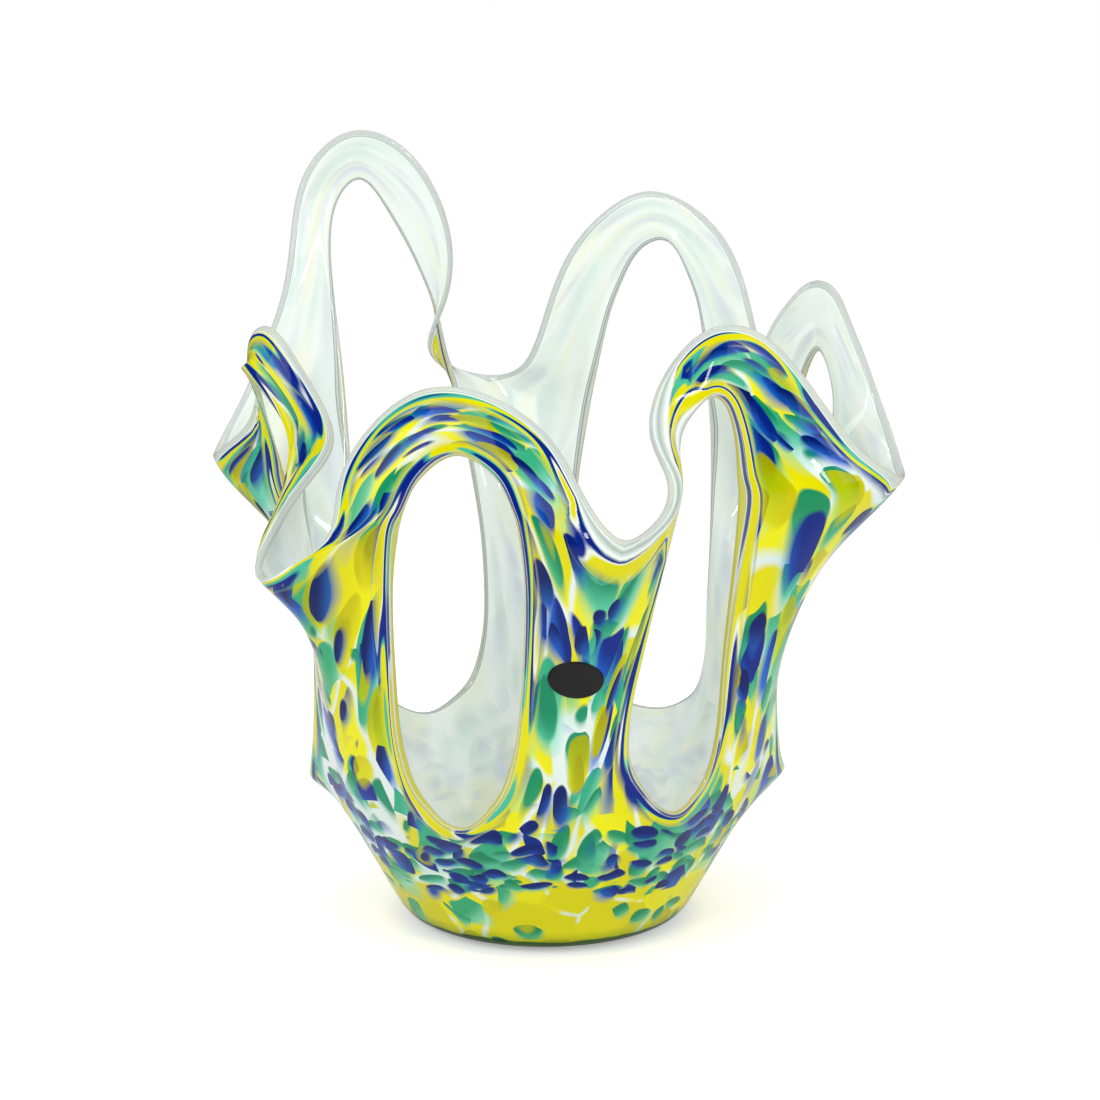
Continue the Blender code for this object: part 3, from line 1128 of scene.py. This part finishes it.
@dataclass(frozen=True)
class ClearEdge:
    """Clear glass along every edge, where the colour ends: a grey-green line with white beside it.

    The grey-green line is partly the clear glass's own tint and partly a painted reflection of the dark
    studio. Over the rounding itself fine yellow and grey lines are caught, the grey ones partly painted
    reflection, strong at the windows and faint at the rim. line_at to colour_at are millimetres from the
    edge, and casing_ends and lines_start are shares of the way over the rounding.
    """

    near: str = "#E8EFEA"
    # Grey-green line: partly the clear glass's tint, partly a painted reflection of the dark studio
    line: str = "#A3B4AA"
    beside: str = "#D0DBD4"
    lining: str = "#ECF2EE"
    line_at: float = 0.4
    beside_at: float = 0.75
    lining_at: float = 1.0
    colour_at: float = 1.4
    roughness: float = 0.03
    transmission: float = 0.3
    caught_yellow: str = "#D9D21E"
    grey_tint_and_reflection: str = "#93A8A0"
    caught_at_rim: float = 0.15
    caught_at_window: float = 0.9
    casing_ends: float = 0.26
    lines_start: float = 0.32

    def over(self, tree: NodeTree, depth: NodeSocket,
             colour: NodeSocket) -> NodeSocket:
        """Lays the clear band over a colour.

        Args:
            tree: the material's nodes.
            depth: distance from the edge, in millimetres.
            colour: the colour beyond the band.

        Returns:
            The colour with the band on it.
        """
        share = add_node(tree, "ShaderNodeMath", {0: depth, 1: self.colour_at}, operation="DIVIDE")
        ramp = add_node(tree, "ShaderNodeValToRGB", {0: share.outputs[0]})
        # The grey-green line is partly the clear glass's tint and partly a painted reflection of the dark
        # studio
        set_stops(ramp, [
            (0.0, linear(self.near)), (self.line_at / self.colour_at, linear(self.line)),
            (self.beside_at / self.colour_at, linear(self.beside)),
            (self.lining_at / self.colour_at, linear(self.lining)),
        ])
        coloured = add_node(tree, "ShaderNodeMapRange", {
            "Value": depth, "From Min": self.lining_at, "From Max": self.colour_at,
        }, interpolation_type="SMOOTHSTEP").outputs[0]
        return add_node(tree, "ShaderNodeMix", {
            MIX_FACTOR: coloured, MIX_A: ramp.outputs["Color"], MIX_B: colour,
        }, data_type="RGBA").outputs[MIX_RESULT]

    def material(self, streaks: EdgeStreaks) -> Material:
        """Clear fire-polished glass for the rounded edge itself, with fine yellow lines caught in it and
        grey lines that are partly painted reflection.

        Args:
            streaks: the casing's streaks, which at a window run on over the edge's outer part.

        Returns:
            The material.
        """
        material, shader = new_material("clear_polished_edge")
        tree = material.node_tree
        across = add_node(tree, "ShaderNodeAttribute", attribute_name=Reading.ACROSS_EDGE).outputs["Fac"]
        # Yellow lines are colour caught in the glass; the grey lines are partly a painted reflection of
        # the dark studio
        lines = add_node(tree, "ShaderNodeValToRGB", {0: across})
        set_stops(lines, self._caught_lines())
        depth = add_node(tree, "ShaderNodeAttribute", attribute_name=Reading.FROM_EDGE).outputs["Fac"]
        cased = add_node(tree, "ShaderNodeMapRange", {
            "Value": across, "From Min": self.casing_ends, "From Max": self.lines_start,
            "To Min": 1.0, "To Max": 0.0,
        }).outputs[0]
        over_edge = add_node(tree, "ShaderNodeMix", {
            MIX_FACTOR: cased, MIX_A: lines.outputs["Color"], MIX_B: streaks.paint(tree, depth),
        }, data_type="RGBA").outputs[MIX_RESULT]
        at_window = add_node(tree, "ShaderNodeAttribute", attribute_name=Reading.AT_WINDOW).outputs["Fac"]
        share = add_node(tree, "ShaderNodeMapRange", {
            "Value": at_window, "To Min": self.caught_at_rim, "To Max": self.caught_at_window,
        }).outputs[0]
        tinted = add_node(tree, "ShaderNodeMix", {
            MIX_FACTOR: share, MIX_A: linear(self.near), MIX_B: over_edge,
        }, data_type="RGBA").outputs[MIX_RESULT]
        set_inputs(shader, {
            "Base Color": tinted, "Roughness": self.roughness, "IOR": GLASS_IOR,
            "Transmission Weight": self.transmission,
        })
        return material

    def _caught_lines(self) -> ColourStops:
        """Lines over the edge, by the share of the way from the casing to the lining.

        Returns:
            The ramp's stops.
        """
        # Grey lines: partly the glass's own grey tint, partly a painted reflection of the dark studio
        near, yellow, grey = linear(self.near), linear(self.caught_yellow), linear(self.grey_tint_and_reflection)
        return [
            (0.34, near), (0.38, yellow), (0.5, yellow), (0.56, near), (0.62, near),
            (0.68, grey), (0.76, near), (0.86, near), (0.93, grey), (1.0, near),
        ]


@dataclass(frozen=True)
class HandWaves:
    """Slow waves of hand-worked glass, which make its reflections wander.

    size is about the length of a wave and depth its height, in millimetres.
    """

    size: float = 22.0
    depth: float = 0.35

    def normal(self, tree: NodeTree) -> NodeSocket:
        """Adds the waves to a material.

        Args:
            tree: the material's nodes.

        Returns:
            The normal.
        """
        place = add_node(tree, "ShaderNodeTexCoord").outputs["Object"]
        scale = 1.0 / (self.size * METRES_PER_MM)
        waves = add_node(tree, "ShaderNodeTexNoise", {
            "Vector": place, "Scale": scale, "Detail": 1.0,
        }).outputs["Fac"]
        return add_node(tree, "ShaderNodeBump", {
            "Height": waves, "Distance": self.depth * METRES_PER_MM, "Strength": 1.0,
        }).outputs["Normal"]


@dataclass(frozen=True)
class FootShade:
    """Clear glass of the foot, which gathers the shade below the vase into a dark green line.

    Heights are millimetres over the table, and the line wavers as the melted casing does.
    """

    line: str = "#2F6250"
    beside: str = "#CDDAC8"
    line_at: float = 5.0
    beside_at: float = 5.8
    ends_at: float = 10.0
    waver: float = 1.4
    waver_size: float = 14.0

    def over(self, tree: NodeTree, colour: NodeSocket) -> NodeSocket:
        """Lays the shade over a colour, by the height above the table.

        Args:
            tree: the material's nodes.
            colour: the colour of the glass.

        Returns:
            The colour with the shade on it.
        """
        place = add_node(tree, "ShaderNodeTexCoord").outputs["Object"]
        height = add_node(tree, "ShaderNodeSeparateXYZ", {0: place}).outputs["Z"]
        share = add_node(tree, "ShaderNodeMath", {
            0: height, 1: self.ends_at * METRES_PER_MM,
        }, operation="DIVIDE").outputs[0]
        noise = add_node(tree, "ShaderNodeTexNoise", {
            "Vector": place, "Scale": 1.0 / (self.waver_size * METRES_PER_MM), "Detail": 1.0,
        }).outputs["Fac"]
        reach = self.waver / self.ends_at
        wavered = add_node(tree, "ShaderNodeMath", {
            0: noise, 1: 2.0 * reach, 2: share,
        }, operation="MULTIPLY_ADD").outputs[0]
        settled = add_node(tree, "ShaderNodeMath", {
            0: wavered, 1: reach,
        }, operation="SUBTRACT").outputs[0]
        ramp = add_node(tree, "ShaderNodeValToRGB", {0: settled})
        set_stops(ramp, [
            (self.line_at / self.ends_at, linear(self.line)),
            (self.beside_at / self.ends_at, linear(self.beside)), (1.0, linear(WHITE)),
        ])
        return add_node(tree, "ShaderNodeMix", {
            MIX_FACTOR: 1.0, MIX_A: colour, MIX_B: ramp.outputs["Color"],
        }, data_type="RGBA", blend_type="MULTIPLY").outputs[MIX_RESULT]


@dataclass(frozen=True)
class CasedGlass:
    """Chips and opal under a clear skin: soft colours below a deep, wet gloss.

    The gloss is kept low, because a fully mirrored studio would grey the blues. The glow is the
    light that the opal sends back through the chips, and its reach is in millimetres.
    """

    roughness: float = 0.05
    sheen: float = 0.22
    glow: float = 0.03
    glow_reach: float = 1.5

    def material(self, pattern: ChipPattern, edge: ClearEdge) -> Material:
        """The outer skin's material.

        Args:
            pattern: the chips.
            edge: the clear band along the edges.

        Returns:
            The material.
        """
        material, shader = new_material("cased_glass_outside")
        tree = material.node_tree
        depth = add_node(tree, "ShaderNodeAttribute", attribute_name=Reading.FROM_EDGE).outputs["Fac"]
        streaked = EdgeStreaks().over(tree, depth, pattern.paint(tree))
        skin = FootShade().over(tree, edge.over(tree, depth, streaked))
        set_inputs(shader, {
            "Base Color": skin, "Normal": HandWaves().normal(tree),
            "Roughness": self.roughness, "IOR": GLASS_IOR, "Specular IOR Level": self.sheen,
            "Subsurface Weight": self.glow, "Subsurface Radius": (1.0, 1.0, 1.0),
            "Subsurface Scale": self.glow_reach * METRES_PER_MM,
        })
        return material


@dataclass(frozen=True)
class MilkLining:
    """Milky inner layer: the chips show through it only as a pale veil.

    Its glow reaches far, so that the arches look lit from within rather than painted white.
    """

    milk: str = "#EEF3F0"
    veil: float = 0.2
    blur: float = 0.35
    roughness: float = 0.07
    glow: float = 0.6
    glow_reach: float = 6.0

    def material(self, pattern: ChipPattern, edge: ClearEdge) -> Material:
        """The inner skin's material.

        Args:
            pattern: the chips, seen through the milk.
            edge: the clear band along the edges.

        Returns:
            The material.
        """
        material, shader = new_material("milk_lining")
        tree = material.node_tree
        veiled = add_node(tree, "ShaderNodeMix", {
            MIX_FACTOR: self.veil, MIX_A: linear(self.milk), MIX_B: pattern.paint(tree, self.blur),
        }, data_type="RGBA").outputs[MIX_RESULT]
        depth = add_node(tree, "ShaderNodeAttribute", attribute_name=Reading.FROM_EDGE).outputs["Fac"]
        set_inputs(shader, {
            "Base Color": edge.over(tree, depth, veiled), "Normal": HandWaves().normal(tree),
            "Roughness": self.roughness, "IOR": GLASS_IOR,
            "Subsurface Weight": self.glow, "Subsurface Radius": (1.0, 1.0, 1.0),
            "Subsurface Scale": self.glow_reach * METRES_PER_MM,
        })
        return material


@dataclass(frozen=True)
class BlackFoil:
    """Thin bare foil: satin black with a faint grey grain, so that it doesn't look like a hole."""

    colour: str = "#070808"
    worn: str = "#111212"
    roughness: float = 0.32
    sheen: float = 0.3
    # Far coarser than the grain of real foil, which is too fine to show
    grain: float = 1.5

    def material(self) -> Material:
        """Satin foil, a little worn all over.

        Returns:
            The material.
        """
        material, shader = new_material("black_label_foil")
        tree = material.node_tree
        place = add_node(tree, "ShaderNodeTexCoord").outputs["Object"]
        cloud = add_node(tree, "ShaderNodeTexNoise", {
            "Vector": place, "Scale": 1.0 / (self.grain * METRES_PER_MM), "Detail": 3.0,
        }).outputs["Fac"]
        colour = add_node(tree, "ShaderNodeMix", {
            MIX_FACTOR: cloud, MIX_A: linear(self.colour), MIX_B: linear(self.worn),
        }, data_type="RGBA").outputs[MIX_RESULT]
        set_inputs(shader, {
            "Base Color": colour, "Roughness": self.roughness, "Specular IOR Level": self.sheen,
        })
        return material


@dataclass(frozen=True)
class Vase:
    """The blown body, cased outside, milky inside and clear along its edges."""

    wall: float = 4.5
    base_thickness: float = 9.0
    thinning_power: float = 0.5
    bubble_wall: float = 0.01
    subdivisions: int = 3
    # The smooth skin swells past the CAD's facets, so it is drawn in to stay in their box
    drawn_in: float = 0.9968
    # At a window little of the clear band is left: the distance from the edge starts at this
    window_start: float = 1.1
    # In the blown form all windows end below this height, and the whole rim lies above it
    windows_below: float = 44.0
    # The neck of the front right arch keeps a wide clear band, and all other edges a narrow one
    clear_band: float = 1.4
    wide_clear_band: float = 7.0
    wide_reach: float = 26.0
    wide_fade: float = 1.5
    wide_places: tuple[Place, ...] = (
        FRONT_RIGHT.lip, FRONT_RIGHT.rim[0], FRONT_RIGHT.rim[1],
    )
    form: PulledForm = PulledForm()

    def build(self) -> Object:
        """Lays out the cage, gives it its wall and polish, and notes what its materials read.

        Returns:
            The finished piece, without its glass.
        """
        cage = Cage(self.form, BlownForm())
        vase = cage.add("vase_glass", cage.pulled)
        bubble = cage.add("bubble", cage.blown)
        self._add_wall(vase)
        # The bubble gets the same faces with next to no wall, so its points match the vase's
        self._solidify(bubble, self.bubble_wall)
        blown = apply_modifiers(bubble)
        apply_modifiers(vase)
        places = [value for vertex in blown.vertices for value in vertex.co / METRES_PER_MM]
        attribute = vase.data.attributes.new(Reading.BLOWN, "FLOAT_VECTOR", "POINT")
        attribute.data.foreach_set("vector", places)
        self._add_values(vase.data, Reading.AT_WINDOW, self._at_window(blown))
        self._add_values(vase.data, Reading.FROM_EDGE, self._depths(vase.data, blown))
        self._add_values(vase.data, Reading.ACROSS_EDGE, self._across(vase.data))
        vase.data.transform(Matrix.Scale(self.drawn_in, 4))
        bpy.data.objects.remove(bubble, do_unlink=True)
        vase.data.shade_smooth()
        return vase

    def dress(self, vase: Object) -> None:
        """Gives the casing, the lining and the edge their glass.

        Args:
            vase: the built piece.
        """
        pattern, edge = ChipPattern(), ClearEdge()
        vase.data.materials[Skin.CASING] = CasedGlass().material(pattern, edge)
        vase.data.materials[Skin.LINING] = MilkLining().material(pattern, edge)
        vase.data.materials[Skin.EDGE] = edge.material(EdgeStreaks())
        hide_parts("vase")
        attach(vase, "root")

    def _add_wall(self, vase: Object) -> None:
        """Gives the skin its wall inwards, thickest in the foot.

        Args:
            vase: the pulled skin.
        """
        group = vase.vertex_groups.new(name="wall_thickness")
        for vertex in vase.data.vertices:
            share = min(vertex.co.z / METRES_PER_MM / self.form.shoulder_height, 1.0)
            thin = blend(1.0, self.wall / self.base_thickness, share ** self.thinning_power)
            group.add([vertex.index], thin, "REPLACE")
        wall = self._solidify(vase, self.base_thickness)
        wall.vertex_group = group.name

    def _solidify(self, skin: Object, thickness: float) -> SolidifyModifier:
        """Adds a wall inwards and smooths the skin.

        Args:
            skin: the cage's object.
            thickness: the wall, in millimetres.

        Returns:
            The wall's modifier; its lining and rim have material slots of their own.
        """
        for slot in Skin:
            skin.data.materials.append(bpy.data.materials.new(slot.name.lower()))
        wall = skin.modifiers.new("wall", "SOLIDIFY")
        wall.thickness = thickness * METRES_PER_MM
        wall.offset = -1.0
        wall.material_offset = Skin.LINING
        wall.material_offset_rim = Skin.EDGE
        smooth = skin.modifiers.new("fire_polish", "SUBSURF")
        smooth.levels = self.subdivisions
        smooth.render_levels = self.subdivisions
        return wall

    def _points_of(self, data: Mesh, slot: Skin) -> set[int]:
        """Points on the faces of one kind of surface."""
        faces = [face for face in data.polygons if face.material_index == slot]
        return {index for face in faces for index in face.vertices}

    def _tree(self, data: Mesh, points: set[int]) -> KDTree:
        """Sets up the search for the nearest of some points.

        Args:
            data: the mesh.
            points: numbers of the points.

        Returns:
            The search tree.
        """
        tree = KDTree(len(points))
        for index in points:
            tree.insert(data.vertices[index].co, index)
        tree.balance()
        return tree

    def _add_values(self, data: Mesh, name: Reading, values: list[float]) -> None:
        """Adds one number for each point, which the materials read."""
        data.attributes.new(name, "FLOAT", "POINT").data.foreach_set("value", values)

    def _at_window(self, blown: Mesh) -> list[float]:
        """One for the points below the windows' tops in the blown form, zero for the rest."""
        limit = self.windows_below * METRES_PER_MM
        return [1.0 if vertex.co.z < limit else 0.0 for vertex in blown.vertices]

    def _depths(self, data: Mesh, blown: Mesh) -> list[float]:
        """Distance of each point from the edge, as the clear band there is wide or narrow.

        Args:
            data: the pulled mesh.
            blown: the same mesh in the blown form, where all windows end at one height.

        Returns:
            Millimetres, drawn in where the band is wide and moved on where it is narrow.
        """
        tree = self._tree(data, self._points_of(data, Skin.EDGE))
        at_window = self._at_window(blown)
        wide = [self.form.point(place) * METRES_PER_MM for place in self.wide_places]
        depths = []
        for vertex in data.vertices:
            _, nearest, away = tree.find(vertex.co)
            depth = away / METRES_PER_MM
            from_wide = min((vertex.co - place).length for place in wide) / METRES_PER_MM
            narrow = min(from_wide / self.wide_reach, 1.0) ** self.wide_fade
            width = blend(self.wide_clear_band, self.clear_band, narrow)
            moved_on = at_window[nearest] * self.window_start * narrow
            depths.append(depth * self.clear_band / width + moved_on)
        return depths

    def _across(self, data: Mesh) -> list[float]:
        """How far over the rounded edge each point lies.

        Args:
            data: the pulled mesh.

        Returns:
            Shares of the way from the casing to the lining, and 0 off the edge.
        """
        edge = self._points_of(data, Skin.EDGE)
        outer = self._tree(data, edge & self._points_of(data, Skin.CASING))
        inner = self._tree(data, edge & self._points_of(data, Skin.LINING))
        shares = [0.0] * len(data.vertices)
        for index in edge:
            place = data.vertices[index].co
            from_outer, from_inner = outer.find(place)[2], inner.find(place)[2]
            shares[index] = from_outer / (from_outer + from_inner)
        return shares


@dataclass(frozen=True)
class OvalLabel:
    """Bare oval foil label on the front pillar."""

    width: float = 20.0
    height: float = 14.0
    thickness: float = 0.25
    clearance: float = 0.1
    place: Place = Place(-83.0, 20.0, 75.0)
    tilt: float = -4.0
    spans: int = 20

    def build(self, vase: Object) -> Object:
        """Cuts the foil and lays it on the glass.

        Args:
            vase: the built vase.

        Returns:
            The label.
        """
        label = self._cut()
        label.matrix_world = self._stance()
        wrap = label.modifiers.new("lay_on_glass", "SHRINKWRAP")
        wrap.target = vase
        wrap.wrap_method = "PROJECT"
        wrap.use_project_z = True
        wrap.use_positive_direction = False
        wrap.use_negative_direction = True
        wrap.offset = self.clearance * METRES_PER_MM
        foil = label.modifiers.new("foil", "SOLIDIFY")
        foil.thickness = self.thickness * METRES_PER_MM
        foil.offset = 1.0
        apply_modifiers(label)
        return label

    def dress(self, label: Object) -> None:
        """Gives the label its foil.

        Args:
            label: the built piece.
        """
        label.data.materials.clear()
        label.data.materials.append(BlackFoil().material())
        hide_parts("oval_label")
        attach(label, "root")

    def _cut(self) -> Object:
        """A flat oval: a square grid whose rows are bowed out to a round one and drawn wide.

        Returns:
            The oval, lying at the origin.
        """
        mesh = bmesh.new()
        bmesh.ops.create_grid(mesh, x_segments=self.spans, y_segments=self.spans, size=1.0)
        for vertex in mesh.verts:
            x, y = vertex.co.x, vertex.co.y
            vertex.co.x = x * math.sqrt(1.0 - y * y / 2.0) * self.width / 2.0 * METRES_PER_MM
            vertex.co.y = y * math.sqrt(1.0 - x * x / 2.0) * self.height / 2.0 * METRES_PER_MM
        label = mesh_object("label_foil", mesh)
        label.data.shade_smooth()
        return label

    def _stance(self) -> Matrix:
        """Where the flat foil starts from: before the pillar, facing out.

        Returns:
            Its place and turn in the scene.
        """
        outward = around_axis(self.place.bearing, 1.0, 0.0)
        sideways = Vector((-outward.y, outward.x, 0.0))
        upright = Matrix((sideways, Vector((0.0, 0.0, 1.0)), outward)).transposed().to_4x4()
        at = PulledForm().point(self.place) * METRES_PER_MM
        return Matrix.Translation(at) @ upright @ Matrix.Rotation(math.radians(self.tilt), 4, "Z")


@dataclass(frozen=True)
class SoftBox:
    """A large soft studio lamp turned to the vase, with its place and size in metres."""

    name: str
    place: tuple[float, float, float]
    width: float
    height: float
    watts: float


@dataclass(frozen=True)
class Studio:
    """White sweep, soft boxes and the camera of a product photograph.

    Places and sizes are metres, turns are degrees, and lens and sensor are millimetres.
    """

    floor_radius: float = 0.9
    dome_level: float = 0.78
    mirrored_level: float = 0.12
    floor_shine: float = 0.35
    floor_colour: str = "#F4F4F2"
    floor_segments: int = 96
    floor_drop: float = 0.0005
    floor_roughness: float = 0.6
    floor_solid_to: float = 0.25
    floor_gone_at: float = 0.8
    aim: tuple[float, float, float] = (0.0, 0.0, 0.14)
    camera_place: tuple[float, float, float] = (0.002, -1.165, 0.4024)
    camera_pitch: float = 77.5
    lens: float = 101.45
    sensor: float = 36.0
    boxes: tuple[SoftBox, ...] = (
        SoftBox("key_box", (-0.9, -0.9, 0.9), 0.6, 0.8, 4.5),
        SoftBox("fill_box", (1.1, -0.6, 0.6), 0.5, 0.8, 2.5),
        SoftBox("top_box", (0.0, 0.3, 1.3), 0.8, 0.8, 1.2),
        SoftBox("left_strip", (-0.5, -1.1, 0.75), 0.05, 0.4, 2.0),
        SoftBox("right_strip", (0.75, -0.9, 0.55), 0.05, 0.4, 2.0),
    )

    def build(self) -> None:
        """Builds floor, world, lamps and camera."""
        self._add_floor()
        self._light_world()
        for box in self.boxes:
            self._add_box(box)
        self._add_camera()
        bpy.context.scene.view_settings.view_transform = "Standard"

    def _seen_directly(self, tree: NodeTree) -> NodeSocket:
        """Tells the rays that see the white from the rays that light.

        Args:
            tree: the nodes of the floor or the world.

        Returns:
            1 for camera and transmission rays, and 0 for the others.
        """
        path = add_node(tree, "ShaderNodeLightPath").outputs
        return add_node(tree, "ShaderNodeMath", {
            0: path["Is Camera Ray"], 1: path["Is Transmission Ray"],
        }, operation="MAXIMUM").outputs[0]

    def _add_floor(self) -> None:
        """A round white floor that keeps the shadow and fades out before its rim."""
        mesh = bmesh.new()
        bmesh.ops.create_circle(
            mesh, cap_ends=True, segments=self.floor_segments, radius=self.floor_radius,
        )
        floor = mesh_object("floor", mesh)
        floor.location.z = -self.floor_drop
        material, shader = new_material("white_floor")
        tree = material.node_tree
        glow = add_node(tree, "ShaderNodeMath", {
            0: self._seen_directly(tree), 1: self.floor_shine,
        }, operation="MULTIPLY").outputs[0]
        place = add_node(tree, "ShaderNodeTexCoord").outputs["Object"]
        reach = add_node(tree, "ShaderNodeVectorMath", {0: place}, operation="LENGTH")
        solid = add_node(tree, "ShaderNodeMapRange", {
            "Value": reach.outputs["Value"],
            "From Min": self.floor_solid_to, "From Max": self.floor_gone_at,
            "To Min": 1.0, "To Max": 0.0,
        }, interpolation_type="SMOOTHSTEP").outputs[0]
        set_inputs(shader, {
            "Base Color": linear(self.floor_colour), "Roughness": self.floor_roughness,
            "Specular IOR Level": 0.0, "Emission Color": linear(WHITE),
            "Emission Strength": glow, "Alpha": solid,
        })
        floor.data.materials.append(material)

    def _light_world(self) -> None:
        """White where it is seen, lower where it lights the vase and dim in its reflections."""
        world = bpy.data.worlds.new("white_sweep")
        world.use_nodes = True
        tree = world.node_tree
        mirrored = add_node(tree, "ShaderNodeLightPath").outputs["Is Glossy Ray"]
        lighting = add_node(tree, "ShaderNodeMapRange", {
            "Value": mirrored, "To Min": self.dome_level, "To Max": self.mirrored_level,
        }).outputs[0]
        level = add_node(tree, "ShaderNodeMapRange", {
            "Value": self._seen_directly(tree), "To Min": lighting, "To Max": 1.0,
        }).outputs[0]
        set_inputs(tree.nodes["Background"], {"Color": linear(WHITE), "Strength": level})
        bpy.context.scene.world = world

    def _add_box(self, box: SoftBox) -> None:
        """Adds a soft box, turned to the vase.

        Args:
            box: its place, size and power.
        """
        lamp = bpy.data.lights.new(box.name, "AREA")
        lamp.shape = "RECTANGLE"
        lamp.size = box.width
        lamp.size_y = box.height
        lamp.energy = box.watts
        holder = add_object(box.name, lamp)
        holder.location = box.place
        towards = Vector(self.aim) - Vector(box.place)
        holder.rotation_euler = towards.to_track_quat("-Z", "Y").to_euler()

    def _add_camera(self) -> None:
        """The photograph's viewpoint."""
        data = bpy.data.cameras.new("camera")
        data.lens = self.lens
        data.sensor_width = self.sensor
        camera = add_object("camera", data)
        camera.location = self.camera_place
        camera.rotation_euler = (math.radians(self.camera_pitch), 0.0, 0.0)
        bpy.context.scene.camera = camera


def main() -> None:
    """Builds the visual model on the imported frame."""
    logging.basicConfig(level=logging.INFO, format="%(message)s")
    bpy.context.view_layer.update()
    body = Vase()
    vase = body.build()
    body.dress(vase)
    foil = OvalLabel()
    label = foil.build(vase)
    foil.dress(label)
    for piece in (vase, label):
        log.info("%s: %d faces", piece.name, len(piece.data.polygons))
    studio = Studio()
    studio.build()
    log.info("studio: floor, camera and %d soft boxes", len(studio.boxes))


if __name__ == "__main__":
    main()
